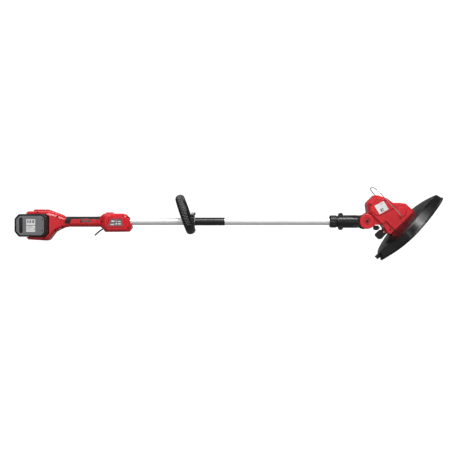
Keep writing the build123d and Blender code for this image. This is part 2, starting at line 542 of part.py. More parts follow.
# motor, drive and spindle
MOTOR_V = (38, 106)
can = turned(
    [(MOTOR_R - 2, 0), (MOTOR_R, 0), (MOTOR_R, 68), (6, 68), (6, 66), (MOTOR_R - 2, 66)],
    (MOTOR_S, 0, MOTOR_V[0]), (0, 0, 1))
nodes["motor_can"] = head_frame(can)
mount = block((-62, 33), (-24, 24), (31, 34)) - rod((MOTOR_S, 0, 30), (MOTOR_S, 0, 35), 8)
mount += tube((0, 0, 24), (0, 0, 31), 9, SPINDLE_R + RUN)
mount -= rod((0, 0, 30), (0, 0, 35), SPINDLE_R + RUN)
nodes["gear_plate"] = head_frame(mount)


def gear(teeth, width, bore_r):
    """A spur gear with slim straight-flanked teeth."""
    pitch = MODULE * teeth / 2
    outline = []
    for i in range(teeth):
        for step, radius in ((-0.24, -1.1), (-0.12, 0.55), (0.12, 0.55), (0.24, -1.1)):
            angle = 2 * pi * (i + step) / teeth
            r = pitch + radius * MODULE
            outline.append((r * cos(angle), r * sin(angle)))
    blank = extrude(make_face(Polyline(*outline, close=True)), width)
    return blank - Pos(0, 0, width / 2) * Cylinder(bore_r, 2 * width) if bore_r else blank


half_tooth = 180 / PINION_TEETH
pinion = Pos(MOTOR_S, 0, 12) * Rot(0, 0, half_tooth) * gear(PINION_TEETH, 11, 0)
rotor = rod((MOTOR_S, 0, 44), (MOTOR_S, 0, 98), MOTOR_R - 4) + rod((MOTOR_S, 0, 12), (MOTOR_S, 0, 122), 3)
nodes["motor_rotor"] = head_frame(rotor + pinion)
fan = tube((MOTOR_S, 0, 109), (MOTOR_S, 0, 113), 7, 3)
FAN_BLADES = 7
for i in range(FAN_BLADES):
    blade = Pos(MOTOR_S, 0, 111) * Rot(0, 0, 360 * i / FAN_BLADES) * Pos(12, 0, 0) * Rot(35, 0, 0) * Box(13, 1.2, 6)
    fan += blade
fan += tube((MOTOR_S, 0, 109.5), (MOTOR_S, 0, 112.5), 20, 18)
nodes["cooling_fan"] = head_frame(fan)
spindle_gear = Pos(0, 0, 12) * gear(GEAR_TEETH, 10, SPINDLE_R)
nodes["drive_gear"] = head_frame(spindle_gear)
nodes["spindle"] = head_frame(rod((0, 0, SPINDLE_END_V), (0, 0, 33), SPINDLE_R))

# ---------------------------------------------------------------- pedal, latch and plant guard wire
pedal_x, pedal_z = PEDAL_PIVOT
pedal = plate([(-108, 12), (-100, 7.5), (-74.5, 9), (-74.5, 27), (-82, 33), (-103, 34), (-108, 29)], -PEDAL_HALF, PEDAL_HALF, 2)
for i in range(5):
    s = -104 + 4.4 * i
    pedal -= block((s - 0.8, s + 0.8), (-9, 9), (32, 36))
pedal -= rod((pedal_x, -20, pedal_z), (pedal_x, 20, pedal_z), 2 + RUN)
nodes["tilt_pedal"] = head_frame(pedal)
nodes["pedal_pin"] = head_frame(rod((pedal_x, -PEDAL_PIN_HALF, pedal_z), (pedal_x, PEDAL_PIN_HALF, pedal_z), 2))
latch = plate([(-95, 44), (-89, 38.5), (-77, 38.5), (-77, 50), (-87, 60), (-95, 52)], -9, 9, 1)
nodes["tilt_latch"] = head_frame(latch)

wire_s, wire_v = WIRE_PIVOT
WIRE_BEND = 32
wire_top = wire_v + WIRE_REACH
stub_y = HOUSING_HALF - 4
wire_path = FilletPolyline(
    (wire_s, -stub_y, wire_v), (wire_s, -WIRE_Y, wire_v), (wire_s + 4, -WIRE_Y, wire_top),
    (wire_s + 4, WIRE_Y, wire_top), (wire_s, WIRE_Y, wire_v), (wire_s, stub_y, wire_v),
    radius=[4, WIRE_BEND, WIRE_BEND, 4])
wire = sweep(Plane((wire_s, -stub_y, wire_v), z_dir=(0, -1, 0)) * Circle(WIRE_R), path=wire_path)
nodes["plant_guard_wire"] = head_frame(wire)


# ---------------------------------------------------------------- debris guard
def guard_plan(inset, v, open_step=0):
    """The guard's plan at a height: the rim's outline, drawn in by the wall's flare and by an inset."""
    drawn_in = inset + (v - GUARD_RIM_V) * GUARD_FLARE
    side = []
    for s, y in GUARD_PLAN:
        scale = 1 - drawn_in / hypot(s, y)
        side.append((s * scale, y * scale))
    edge = [(s, y + open_step) for s, y in GUARD_OPEN_EDGE]
    if open_step:
        edge = [(s + open_step / 4, y) for s, y in edge]
    closed = Spline(*side)
    opened = Polyline(side[-1], *edge, side[0])
    return Pos(0, 0, v) * make_face([closed, opened])


def dome(drop):
    """What lies under the deck: flat in the middle, then curving down to the crease and past it."""
    deck = ThreePointArc((56, 0, -drop), (100, 0, -6.2 - drop), (141, 0, -19 - drop))
    outline = [
        Line((0, 0, -drop), (56, 0, -drop)), deck, Line((141, 0, -19 - drop), (175, 0, -33 - drop)),
        Line((175, 0, -33 - drop), (175, 0, GUARD_RIM_V - 5)), Line((175, 0, GUARD_RIM_V - 5), (0, 0, GUARD_RIM_V - 5)),
        Line((0, 0, GUARD_RIM_V - 5), (0, 0, -drop)),
    ]
    return revolve(make_face(outline), Axis.Z, 360)


outer = loft([guard_plan(0, GUARD_RIM_V), guard_plan(0, 2)], ruled=True) & dome(0)
lip = loft([guard_plan(-2.2, GUARD_RIM_V), guard_plan(-2.2, GUARD_RIM_V + 4.5)], ruled=True)
lug = plate([(-160, -33), (-160, -21), (-137, -21), (-137, -36)], -8, 8)
room = loft([guard_plan(GUARD_WALL, GUARD_RIM_V - 1, 60), guard_plan(GUARD_WALL, 2, 60)], ruled=True)
guard = outer + lip + lug - (room & dome(GUARD_WALL))
guard -= rod((0, 0, -10), (0, 0, 5), 16)
GUARD_SCREWS = [(-45, -26), (-45, 26), (28, -26), (28, 26)]
guard_screws = []
for s, y in GUARD_SCREWS:
    guard -= rod((s, y, -6), (s, y, 1), 1.7)
    guard_screws.append(rod((s, y, -5.2), (s, y, -GUARD_WALL), 3.5) + rod((s, y, -GUARD_WALL), (s, y, 3), 1.65))
cutter = Pos(-52, 112, -38) * Rot(0, 0, -25) * Box(26, 1.5, 12)
guard -= cutter
nodes["debris_guard"] = head_frame(guard)
for side in ("right", "left"):
    nodes["motor_housing_" + side] -= head_frame(Compound([rod((s, y, -1), (s, y, 4), 1.65) for s, y in GUARD_SCREWS]))
nodes["guard_screws"] = head_frame(Compound(guard_screws))
nodes["line_cutter"] = head_frame(cutter)

# ---------------------------------------------------------------- spool head
cup = turned(
    [(SPINDLE_R, SPOOL_V[1]), (SPOOL_R - 4, SPOOL_V[1]), (SPOOL_R, SPOOL_V[1] - 4), (SPOOL_R, SPOOL_V[0]),
     (SPOOL_R - 2.5, SPOOL_V[0]), (SPOOL_R - 2.5, SPOOL_V[1] - 3), (SPINDLE_R, SPOOL_V[1] - 3)],
    (0, 0, 0), (0, 0, 1))
EYELET_V = -34
eyelets = []
for side in (-1, 1):
    cup -= rod((side * 30, 0, EYELET_V), (side * 50, 0, EYELET_V), 4)
    eyelets.append(tube((side * (SPOOL_R - 3), 0, EYELET_V), (side * (SPOOL_R + 1.6), 0, EYELET_V), 4, 1.6))
for i in range(12):
    angle = 2 * pi * (i + 0.5) / 12
    s, y = (SPOOL_R + 1) * cos(angle), (SPOOL_R + 1) * sin(angle)
    cup -= rod((s, y, SPOOL_V[0] - 1), (s, y, EYELET_V - 8), 3)
nodes["spool_housing"] = head_frame(cup)
nodes["line_eyelets"] = head_frame(Compound(eyelets))
spool = turned(
    [(8, -22), (37, -22), (37, -24), (20, -24), (20, -52), (37, -52), (37, -54), (8, -54)], (0, 0, 0), (0, 0, 1))
nodes["spool"] = head_frame(spool)
nodes["line_winding"] = head_frame(tube((0, 0, -51.8), (0, 0, -24.2), 33, 20.2))
cover_profile = [(KNOB_R + 0.4, -60), (SPOOL_R - 5, -60), (SPOOL_R, -56.3), (SPOOL_R, -56), (KNOB_R + 0.4, -56)]
nodes["spool_cap"] = head_frame(turned(cover_profile, (0, 0, 0), (0, 0, 1)))
knob_profile = [
    (0, -64.5), (12, -64), (18, -62.8), (KNOB_R, -60.5), (KNOB_R, -55), (KNOB_R + 2.5, -55), (KNOB_R + 2.5, -54.4),
    (0, -54.4)]
nodes["bump_knob"] = head_frame(turned(knob_profile, (0, 0, 0), (0, 0, 1)))
nodes["bump_spring"] = head_frame(tube((0, 0, -49.5), (0, 0, -34), 7, 5.6))

for name, shape in nodes.items():
    shape.label = name
    export_step(shape, f"parts/{name}.step")
print(len(nodes), "parts")
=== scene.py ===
# %% [markdown]
# A cordless string trimmer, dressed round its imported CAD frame. The frame fixes every size and every joint,
# so the cells below only add the camera, the finishes and the pieces that CAD leaves plain.

# %% Load the frame
import json
import math

import bpy
import numpy as np
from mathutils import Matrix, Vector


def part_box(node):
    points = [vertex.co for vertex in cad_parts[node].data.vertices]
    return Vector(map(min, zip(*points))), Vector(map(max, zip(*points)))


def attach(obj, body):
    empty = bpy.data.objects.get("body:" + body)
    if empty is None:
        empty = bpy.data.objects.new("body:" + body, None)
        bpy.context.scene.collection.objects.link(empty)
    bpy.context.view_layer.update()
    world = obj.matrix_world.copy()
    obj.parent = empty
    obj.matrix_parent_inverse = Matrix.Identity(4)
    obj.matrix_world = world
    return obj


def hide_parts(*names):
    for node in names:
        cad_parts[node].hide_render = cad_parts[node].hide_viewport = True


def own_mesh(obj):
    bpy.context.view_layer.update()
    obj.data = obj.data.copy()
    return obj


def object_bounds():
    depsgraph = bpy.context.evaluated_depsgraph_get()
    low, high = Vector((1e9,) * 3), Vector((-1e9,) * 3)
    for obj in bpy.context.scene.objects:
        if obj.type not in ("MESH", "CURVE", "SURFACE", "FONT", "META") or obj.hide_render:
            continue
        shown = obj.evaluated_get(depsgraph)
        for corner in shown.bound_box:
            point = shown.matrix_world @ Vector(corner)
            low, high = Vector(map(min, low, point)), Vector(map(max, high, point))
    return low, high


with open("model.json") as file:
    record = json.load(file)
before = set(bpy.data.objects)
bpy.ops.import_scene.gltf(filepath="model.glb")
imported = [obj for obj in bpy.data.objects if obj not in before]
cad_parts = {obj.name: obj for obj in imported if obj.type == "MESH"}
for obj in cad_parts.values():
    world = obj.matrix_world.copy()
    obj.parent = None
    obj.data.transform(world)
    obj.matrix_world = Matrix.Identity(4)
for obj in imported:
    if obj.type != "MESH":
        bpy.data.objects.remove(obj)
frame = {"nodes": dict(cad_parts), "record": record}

CAD_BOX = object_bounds()
print("CAD box, metres:", CAD_BOX)

# %% [markdown]
# The camera comes first. It stands level with the shaft, three metres to the operator's right, and looks
# straight across. A lens of 68.6 mm on a 36 mm sensor sees 1.575 m at the shaft's distance, so the trimmer
# nearly fills the frame, and parts nearer than the shaft are drawn a little larger, as in a real studio.

# %% Camera
CAMERA_X, CAMERA_Z, CAMERA_DISTANCE = 0.119, -0.01225, 3.0
VIEW_WIDTH = 1.575
SENSOR = 36.0

camera_data = bpy.data.cameras.new("camera")
camera_data.sensor_width = SENSOR
camera_data.lens = SENSOR * CAMERA_DISTANCE / VIEW_WIDTH
camera = bpy.data.objects.new("camera", camera_data)
camera.location = (CAMERA_X, -CAMERA_DISTANCE, CAMERA_Z)
camera.rotation_euler = (math.pi / 2, 0, 0)
bpy.context.scene.collection.objects.link(camera)
bpy.context.scene.camera = camera
print("lens, mm:", round(camera_data.lens, 2))

# %% [markdown]
# A studio for a product picture is a white sweep: a floor that curves up into a backdrop. Dark plastic only
# looks dark if what it mirrors is dark. So the sweep and the air glow white for the camera's own rays and
# stay dim for the rays that light the trimmer. A long, narrow soft box above draws the bright line on the
# tubes and upper bevels, a broad key box above the head lights the side faces, a low strip beside the
# camera fills the tubes' middles, and a weak box behind keeps the far side readable from other angles.

# %% Studio
FLOOR_Z = CAD_BOX[0][2] - 0.002
SWEEP_HALF_WIDTH, SWEEP_STEPS = 3.5, 24
SWEEP_FRONT, SWEEP_BACK, SWEEP_RADIUS, SWEEP_TOP = -3.6, 0.5, 2.2, 3.6


def grid_faces(rows, columns, wrap=False):
    """Four-cornered faces between the neighbours of a rows x columns grid, whose columns may join up.

    Point number = row * columns + column.
    """
    row, column = np.meshgrid(np.arange(rows - 1), np.arange(columns if wrap else columns - 1), indexing="ij")
    row, column = row.ravel(), column.ravel()
    beside = (column + 1) % columns
    return np.stack([row * columns + column, row * columns + beside,
                     (row + 1) * columns + beside, (row + 1) * columns + column], axis=1)


def mesh_piece(name, points, faces):
    """A smooth mesh object at the origin from an array of points and a list of arrays of faces."""
    mesh = bpy.data.meshes.new(name)
    corners = [tuple(int(i) for i in face) for block in faces for face in block]
    mesh.from_pydata([tuple(p) for p in np.reshape(points, (-1, 3))], [], corners)
    mesh.polygons.foreach_set("use_smooth", np.full(len(mesh.polygons), True))
    mesh.update()
    piece = bpy.data.objects.new(name, mesh)
    bpy.context.scene.collection.objects.link(piece)
    return piece


def sweep_profile():
    """The floor's line in Y and Z: flat, a quarter circle of SWEEP_RADIUS, then straight up."""
    angle = np.linspace(0, math.pi / 2, SWEEP_STEPS)
    bend_y = SWEEP_BACK + SWEEP_RADIUS * np.sin(angle)
    bend_z = FLOOR_Z + SWEEP_RADIUS * (1 - np.cos(angle))
    y = np.concatenate([[SWEEP_FRONT], bend_y, [SWEEP_BACK + SWEEP_RADIUS]])
    z = np.concatenate([[FLOOR_Z], bend_z, [SWEEP_TOP]])
    return y, z


profile_y, profile_z = sweep_profile()
sweep_x = np.linspace(-SWEEP_HALF_WIDTH, SWEEP_HALF_WIDTH, 3)[:, None]
sweep_points = np.stack(np.broadcast_arrays(sweep_x, profile_y, profile_z), axis=-1)
sweep = mesh_piece("studio_sweep", sweep_points, [grid_faces(3, len(profile_y))])


def area_light(name, place, aim, size, power):
    """A rectangular soft light at a place, turned so that its -Z looks at the aim."""
    data = bpy.data.lights.new(name, "AREA")
    data.shape = "RECTANGLE"
    data.size, data.size_y = size
    data.energy = power
    light = bpy.data.objects.new(name, data)
    away = np.array(place, float) - np.array(aim, float)
    light.location = place
    light.rotation_euler = (
        math.atan2(math.hypot(away[0], away[1]), away[2]), 0, math.atan2(away[0], -away[1]))
    bpy.context.scene.collection.objects.link(light)


SHAFT_MIDDLE, NEAR_HEAD = (0.1, 0, 0), (0.4, 0, 0)
area_light("overhead_strip", place=(0.1, -0.5, 1.3), aim=SHAFT_MIDDLE, size=(3.4, 0.2), power=10)
area_light("key_box", place=(0.75, -1.5, 2.0), aim=NEAR_HEAD, size=(2.4, 0.6), power=70)
area_light("front_strip", place=(0.1, -2.8, 0.4), aim=SHAFT_MIDDLE, size=(3.2, 0.2), power=11)
area_light("back_box", place=(0.1, 1.5, 1.9), aim=SHAFT_MIDDLE, size=(2.6, 0.5), power=12)

world = bpy.data.worlds.new("studio_air")
world.use_nodes = True
bpy.context.scene.world = world
bpy.context.scene.view_settings.view_transform = "Standard"

# %% [markdown]
# Finishes are written as arithmetic. `Signal` wraps one socket of a material's network, and an expression
# such as `1 - grain * 0.2` adds the Math nodes that work it out. Any other node comes from its `node`
# method. `finish` starts a material and gives back a signal to build on and the function that plugs results
# into the shader.


# %% Signals
class Signal:
    """One socket of a material's network, with arithmetic."""

    def __init__(self, tree, socket=None):
        self.tree, self.socket = tree, socket

    def node(self, kind, settings=None, inputs=None, output=0):
        """Add a node: its settings first, then values or signals for its sockets, by name or number."""
        made = self.tree.nodes.new(kind)
        for key, value in (settings or {}).items():
            setattr(made, key, value)
        for key, value in (inputs or {}).items():
            if isinstance(value, Signal):
                self.tree.links.new(value.socket, made.inputs[key])
            else:
                made.inputs[key].default_value = value
        return Signal(self.tree, made.outputs[output])

    def math(self, operation, first, second=0.0, clamp=False):
        """A Math node on two signals or numbers."""
        settings = {"operation": operation, "use_clamp": clamp}
        return self.node("ShaderNodeMath", settings, {0: first, 1: second})

    def __add__(self, other):
        return self.math("ADD", self, other)

    def __radd__(self, other):
        return self.math("ADD", other, self)

    def __sub__(self, other):
        return self.math("SUBTRACT", self, other)

    def __rsub__(self, other):
        return self.math("SUBTRACT", other, self)

    def __mul__(self, other):
        return self.math("MULTIPLY", self, other)

    def __rmul__(self, other):
        return self.math("MULTIPLY", other, self)

    def __truediv__(self, other):
        return self.math("DIVIDE", self, other)

    def __gt__(self, other):
        return self.math("GREATER_THAN", self, other)

    def __lt__(self, other):
        return self.math("LESS_THAN", self, other)

    def clamp(self):
        """The signal, held between 0 and 1."""
        return self.math("ADD", self, 0.0, clamp=True)

    def steps(self, low, high):
        """0 below low, 1 above high and smooth between."""
        return self.node("ShaderNodeMapRange", {"interpolation_type": "SMOOTHSTEP"},
                         {"Value": self, "From Min": low, "From Max": high})

    def between(self, first, second):
        """A colour: the first where the signal is 0 and the second where it is 1."""
        return self.node("ShaderNodeMix", {"data_type": "RGBA"}, {0: self, 6: first, 7: second}, output=2)

    def scaled(self, factors):
        """A vector whose parts are multiplied by three numbers."""
        return self.node("ShaderNodeVectorMath", {"operation": "MULTIPLY"}, {0: self, 1: factors})

    def noise(self, scale, detail=2.0, roughness=0.5):
        """Soft noise about 0.5, with a scale in patches per metre."""
        return self.node("ShaderNodeTexNoise", None,
                         {"Vector": self, "Scale": scale, "Detail": detail, "Roughness": roughness})


def finish(name, **constants):
    """A new material with fixed shader values. Gives the material, a place signal and the plug function."""
    material = bpy.data.materials.new(name)
    material.use_nodes = True
    shader = material.node_tree.nodes["Principled BSDF"]
    for key, value in constants.items():
        shader.inputs[key.replace("_", " ")].default_value = value
    start = Signal(material.node_tree)
    place = start.node("ShaderNodeTexCoord", output="Object")

    def plug(**signals):
        for key, value in signals.items():
            material.node_tree.links.new(value.socket, shader.inputs[key.replace("_", " ")])
    return material, place, plug


def relief(place, height, depth, edge=0.0008):
    """A surface normal: sharp edges rounded over `edge` metres, under a relief `depth` metres deep."""
    rounded = place.node("ShaderNodeBevel", {"samples": 6}, {"Radius": edge})
    return place.node("ShaderNodeBump", None, {"Height": height, "Distance": depth, "Strength": 1.0,
                                               "Normal": rounded})


# The pale edges that the finishes draw from this mask are partly wear and partly a painted highlight.
def edge_wear_and_highlight(place, radius, low=0.03, high=0.35):
    """1 on sharp outer edges and 0 on flat stretches, from how far a rounded normal leaves the true one."""
    rounded = place.node("ShaderNodeBevel", {"samples": 6}, {"Radius": radius})
    true_normal = place.node("ShaderNodeNewGeometry", output="Normal")
    same = place.node("ShaderNodeVectorMath", {"operation": "DOT_PRODUCT"}, {0: rounded, 1: true_normal},
                      output="Value")
    return (1 - same).steps(low, high)


# %% [markdown]
# The sweep and the air are white to look at, but must not light the trimmer, or its dark plastic would turn
# grey. A Light Path node tells the camera's own rays from all others, so it mixes a white for the first
# with a near-black for the rest. Dimming a plain white backdrop would also keep the plastic dark, but would
# turn the backdrop grey.

# %% Studio white
def seen_by_camera(tree, white, dim):
    """A colour that is white for the camera's rays and dim for all others."""
    return Signal(tree).node("ShaderNodeLightPath", output="Is Camera Ray").between(dim, white)


backdrop, place, plug = finish("studio_white", Emission_Strength=1.0, Roughness=0.8)
soft = place.noise(1.5, 2)
plug(
    Base_Color=soft.between((0.22, 0.22, 0.22, 1), (0.25, 0.25, 0.25, 1)),
    Emission_Color=seen_by_camera(backdrop.node_tree, (0.95, 0.95, 0.95, 1), (0.02, 0.02, 0.02, 1)),
)
sweep.data.materials.append(backdrop)
air = seen_by_camera(world.node_tree, (1, 1, 1, 1), (0.09, 0.09, 0.1, 1))
world.node_tree.links.new(air.socket, world.node_tree.nodes["Background"].inputs["Color"])
print("backdrop:", backdrop.name)

# %% [markdown]
# The red finish paints shade where a surface is sheltered. An ambient occlusion node looks a few
# millimetres round each point, and the function below turns it into 1 in grooves, under panel edges and
# round screws, where the red is darkened as painted shade.


# %% Painted crease shade
def painted_crease_shade(place, reach=0.006):
    """1 deep in a groove or corner and 0 on open stretches: where painted shade goes."""
    open_sky = place.node("ShaderNodeAmbientOcclusion", {"samples": 8}, {"Distance": reach}, output="AO")
    return (1 - open_sky).steps(0.15, 0.7)


# %% [markdown]
# The red housings are moulded nylon with a satin shine. The mould's spark-eroded skin is a grain about a
# third of a millimetre across, which breaks up the reflections without showing as a pattern. The colour
# drifts very slightly with the flow of the plastic. Edges are paler, partly from the wear of hands and grass
# and partly as a painted highlight, and the worn ones are duller.


# %% Red moulded nylon
def moulded_red():
    """Coated red with a grain, a slow drift of colour, pale edges that are partly wear and partly a painted
    highlight, and painted shade in grooves.
    """
    material, place, plug = finish("moulded_red", Coat_Weight=0.2, Coat_Roughness=0.22, IOR=1.45)
    grain = place.noise(2600, 2)
    drift = place.noise(9, 3)
    wear_and_highlight = edge_wear_and_highlight(place, 0.0012) * place.noise(150, 4).steps(0.42, 0.62)
    base = drift.between((0.57, 0.007, 0.015, 1), (0.67, 0.012, 0.021, 1))
    plug(
        # Sheltered places are darkened towards deep red as painted shade; pale edges are partly wear, partly
        # a painted highlight.
        Base_Color=(painted_crease_shade(place) * 0.75).between(
            (wear_and_highlight * 0.35).between(base, (0.8, 0.12, 0.11, 1)), (0.05, 0.001, 0.002, 1)),
        Roughness=0.27 + (grain - 0.5) * 0.12 + wear_and_highlight * 0.12 + (drift - 0.5) * 0.08,
        Normal=relief(place, grain, 0.00004),
    )
    return material


RED = moulded_red()
print("finish:", RED.name)

# %% [markdown]
# The black pieces are the same nylon with a coarser, duller skin. Paler edges, partly worn and partly a
# painted highlight, and a tiny amount of dust-grey in patches keep black from looking like a flat hole.
# `tint` and `gloss` make the smoother guard from the same recipe.


# %% Black moulded nylon
def moulded_black(name, tint=0.005, gloss=0.27, grain_scale=1900, depth=0.00006, edge=0.0008):
    """Near-black plastic, paler on its edges as wear and as a painted highlight, with a little dust."""
    material, place, plug = finish(name, IOR=1.5)
    grain = place.noise(grain_scale, 2)
    dust = place.noise(24, 3, 0.5).steps(0.4, 0.9)
    wear_and_highlight = edge_wear_and_highlight(place, 0.001) * place.noise(170, 4).steps(0.4, 0.62)
    dark = (tint, tint, tint * 1.04, 1)
    pale = (tint * 3.2, tint * 3.1, tint * 3.0, 1)
    plug(
        # Paler edges are partly wear and partly a painted highlight; the dust-grey patches are dust.
        Base_Color=(wear_and_highlight * 0.5 + dust * 0.06).clamp().between(dark, pale),
        Roughness=gloss + (grain - 0.5) * 0.16 + dust * 0.03 - wear_and_highlight * 0.06,
        Normal=relief(place, grain, depth, edge),
    )
    return material


BLACK = moulded_black("moulded_black")
GUARD_BLACK = moulded_black(
    "guard_black", tint=0.006, gloss=0.26, grain_scale=1400, depth=0.00002, edge=0.006)

# %% [markdown]
# Soft grips are thermoplastic rubber: very dull, with a fine pebbled skin. Voronoi cells give the pebbles.


# %% Soft rubber
def soft_rubber():
    """Dull dark rubber under a pebbled skin."""
    material, place, plug = finish("soft_rubber", IOR=1.45)
    pebbles = place.node("ShaderNodeTexVoronoi", {"feature": "SMOOTH_F1"}, {"Vector": place, "Scale": 900.0})
    patches = place.noise(60, 4).steps(0.4, 0.7)
    plug(
        Base_Color=patches.between((0.006, 0.006, 0.0065, 1), (0.012, 0.0115, 0.0115, 1)),
        Roughness=0.5 + pebbles * 0.12 + patches * 0.08,
        Normal=relief(place, 1 - pebbles, 0.00009, 0.0006),
    )
    return material


RUBBER = soft_rubber()

# %% [markdown]
# The shaft is drawn and clear-anodised aluminium. Drawing leaves faint lines along the tube, so the noise
# is squeezed along X by a factor of a hundred, and a slower cloud varies the anodising's shine.


# %% Drawn aluminium
def drawn_aluminium():
    """Pale metal with lines along X and a slow cloud in its shine."""
    material, place, plug = finish("drawn_aluminium", Metallic=0.5)
    lines = place.scaled((18, 1800, 1800)).noise(1.0, 3)
    cloud = place.noise(14, 3)
    plug(
        Base_Color=cloud.between((0.9, 0.905, 0.915, 1), (0.97, 0.97, 0.975, 1)),
        Roughness=0.3 + lines * 0.16 + (cloud - 0.5) * 0.08,
        Normal=relief(place, lines, 0.000012, 0.0004),
    )
    return material


ALUMINIUM = drawn_aluminium()

# %% [markdown]
# Screws, pins and springs are steel, either bright or blackened against rust. One recipe serves both: brush
# lines from stretched noise, and stains that darken and dull the metal. Only the colour, the shine and the
# stretch differ.


# %% Steel, screws and wire
def steel(name, colour, shine, brush=(900, 900, 60)):
    """Brushed metal with darker, duller stains. `brush` is the noise's scale along X, Y and Z."""
    material, place, plug = finish(name, Metallic=1.0)
    lines = place.scaled(brush).noise(1.0, 3)
    stain = place.noise(120, 4).steps(0.45, 0.75)
    darker = tuple(0.6 * c for c in colour[:3]) + (1,)
    plug(
        Base_Color=(stain * 0.5).between(colour, darker),
        Roughness=shine + lines * 0.14 + stain * 0.12,
        Normal=relief(place, lines, 0.00001, 0.0003),
    )
    return material


BRIGHT_STEEL = steel("ground_steel", (0.62, 0.62, 0.61, 1), 0.22)
BLACK_STEEL = steel("black_oxide_steel", (0.05, 0.048, 0.05, 1), 0.34, (500, 500, 500))

# %% [markdown]
# The battery's face is a plain grey moulding that is slid in and out and set down on benches, so it is
# rubbed along its length. The rub is noise stretched by a different amount on each axis, and its edges are
# paler as the red ones are, partly as wear and partly as a painted highlight.


# %% Battery face
def satin_grey(name, tint):
    """Grey plastic, paler where it is rubbed, and paler on its edges as wear and as a painted highlight."""
    material, place, plug = finish(name, IOR=1.48)
    grain = place.noise(1500, 2)
    rub = place.scaled((30, 60, 240)).noise(1.0, 4).steps(0.5, 0.75)
    wear_and_highlight = edge_wear_and_highlight(place, 0.0009)
    plug(
        # Paler edges are partly wear and partly a painted highlight; the rub is wear.
        Base_Color=(rub * 0.3 + wear_and_highlight * 0.4).clamp().between((tint, tint, tint * 1.03, 1),
                                                            (tint * 1.7, tint * 1.7, tint * 1.7, 1)),
        Roughness=0.46 + (grain - 0.5) * 0.2 - rub * 0.08,
        Normal=relief(place, grain, 0.00005),
    )
    return material


GREY = satin_grey("battery_grey", 0.17)


# %% [markdown]
# Labels and plates carry plain bars instead of words. A place on a plate becomes u and v, each from 0 to 1
# across it, and a bar is 1 where u and v lie between its four limits. The bars added up mix the ink into
# the ground.


# %% Printed plates
def printed(name, node, ground, ink, marks, turn=0.0, span=None, shine=0.38, metal=0.0):
    """A plate finish: bars (u0, u1, v0, v1) of ink on a ground.

    u and v run over the node's box, or over a square of `span` metres about its middle, turned in XZ.
    """
    material, place, plug = finish(name, Metallic=metal, Coat_Weight=0.3, Coat_Roughness=0.15)
    low, high = (np.array(corner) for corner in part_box(node))
    wide, tall = (high - low)[[0, 2]] if span is None else (span, span)
    centre = tuple((low + high) / 2)
    offset = place.node("ShaderNodeVectorMath", {"operation": "SUBTRACT"}, {0: place, 1: centre})
    along, up = (math.cos(turn), 0, math.sin(turn)), (-math.sin(turn), 0, math.cos(turn))
    dot = {"operation": "DOT_PRODUCT"}
    u = offset.node("ShaderNodeVectorMath", dot, {0: offset, 1: along}, "Value") / wide + 0.5
    v = offset.node("ShaderNodeVectorMath", dot, {0: offset, 1: up}, "Value") / tall + 0.5
    bars = 0
    for u0, u1, v0, v1 in marks:
        bars = bars + (u > u0) * (u < u1) * (v > v0) * (v < v1)
    fibre = place.noise(700, 5)
    paper = fibre.between(ground, tuple(0.9 * c for c in ground[:3]) + (1,))
    plug(
        Base_Color=bars.clamp().between(paper, ink),
        Roughness=shine + fibre * 0.12 - bars.clamp() * 0.06,
        Normal=relief(place, fibre, 0.00002, 0.0002),
    )
    return material

# %% [markdown]
# The cutting line, the power lead and the circuit board are mostly hidden, so one short recipe is enough:
# two close colours mixed by noise. The same cell then prints the plates. Each bar is four limits on its
# plate, and the bars stand for where print would be without saying anything.


# %% Nylon line, cable and board, and the plates
def simple_coloured(name, low, high, scale, shine):
    """Two close colours mixed by noise, for pieces that are mostly hidden."""
    material, place, plug = finish(name)
    pattern = place.noise(scale, 4)
    plug(
        Base_Color=pattern.steps(0.4, 0.6).between(low, high),
        Roughness=shine + (pattern - 0.5) * 0.2,
        Normal=relief(place, pattern, 0.00005),
    )
    return material


LABEL_WHITE, LABEL_INK = (0.86, 0.86, 0.85, 1), (0.06, 0.06, 0.065, 1)
BATTERY_LABEL = printed("battery_print", "battery_label", LABEL_WHITE, (0.2, 0.2, 0.21, 1), [
    (0.1, 0.26, 0.7, 0.93), (0.36, 0.56, 0.7, 0.93), (0.66, 0.9, 0.7, 0.93), (0.1, 0.62, 0.44, 0.47),
    (0.1, 0.8, 0.34, 0.37), (0.1, 0.5, 0.24, 0.27), (0.1, 0.72, 0.14, 0.17), (0.84, 0.92, 0.1, 0.3)])
HOUSING_LABEL = printed("housing_print", "housing_label", LABEL_WHITE, LABEL_INK, [
    (0.3, 0.42, 0.16, 0.44), (0.46, 0.58, 0.16, 0.26), (0.46, 0.58, 0.32, 0.44), (0.2, 0.7, 0.09, 0.11),
    (0.5, 0.85, 0.84, 0.86), (0.6, 0.85, 0.76, 0.78)], turn=math.radians(29), span=0.038)
WINDOW = printed("window_print", "window_plate", (0.16, 0.16, 0.17, 1), (0.85, 0.85, 0.85, 1), [
    (0.2, 0.42, 0.6, 0.8), (0.5, 0.62, 0.66, 0.76), (0.68, 0.86, 0.58, 0.7), (0.12, 0.4, 0.16, 0.3),
    (0.5, 0.6, 0.2, 0.44), (0.66, 0.88, 0.24, 0.36)], shine=0.3, metal=0.35)
BADGE = printed("badge_print", "grip_badge", (0.1, 0.1, 0.105, 1), (0.6, 0.02, 0.03, 1), [
    (0.2, 0.8, 0.45, 0.85)], shine=0.3)
LINE_NYLON = simple_coloured("line_nylon", (0.34, 0.4, 0.04, 1), (0.46, 0.52, 0.08, 1), 900, 0.3)
CABLE = simple_coloured("cable_sheath", (0.015, 0.015, 0.016, 1), (0.03, 0.03, 0.03, 1), 700, 0.5)
BOARD = simple_coloured("circuit_board", (0.012, 0.09, 0.03, 1), (0.03, 0.17, 0.06, 1), 260, 0.35)

# %% [markdown]
# Every CAD node whose shape is right stays and takes its finish through its material slots. The record's
# slot names are the key, so one table dresses all nodes.

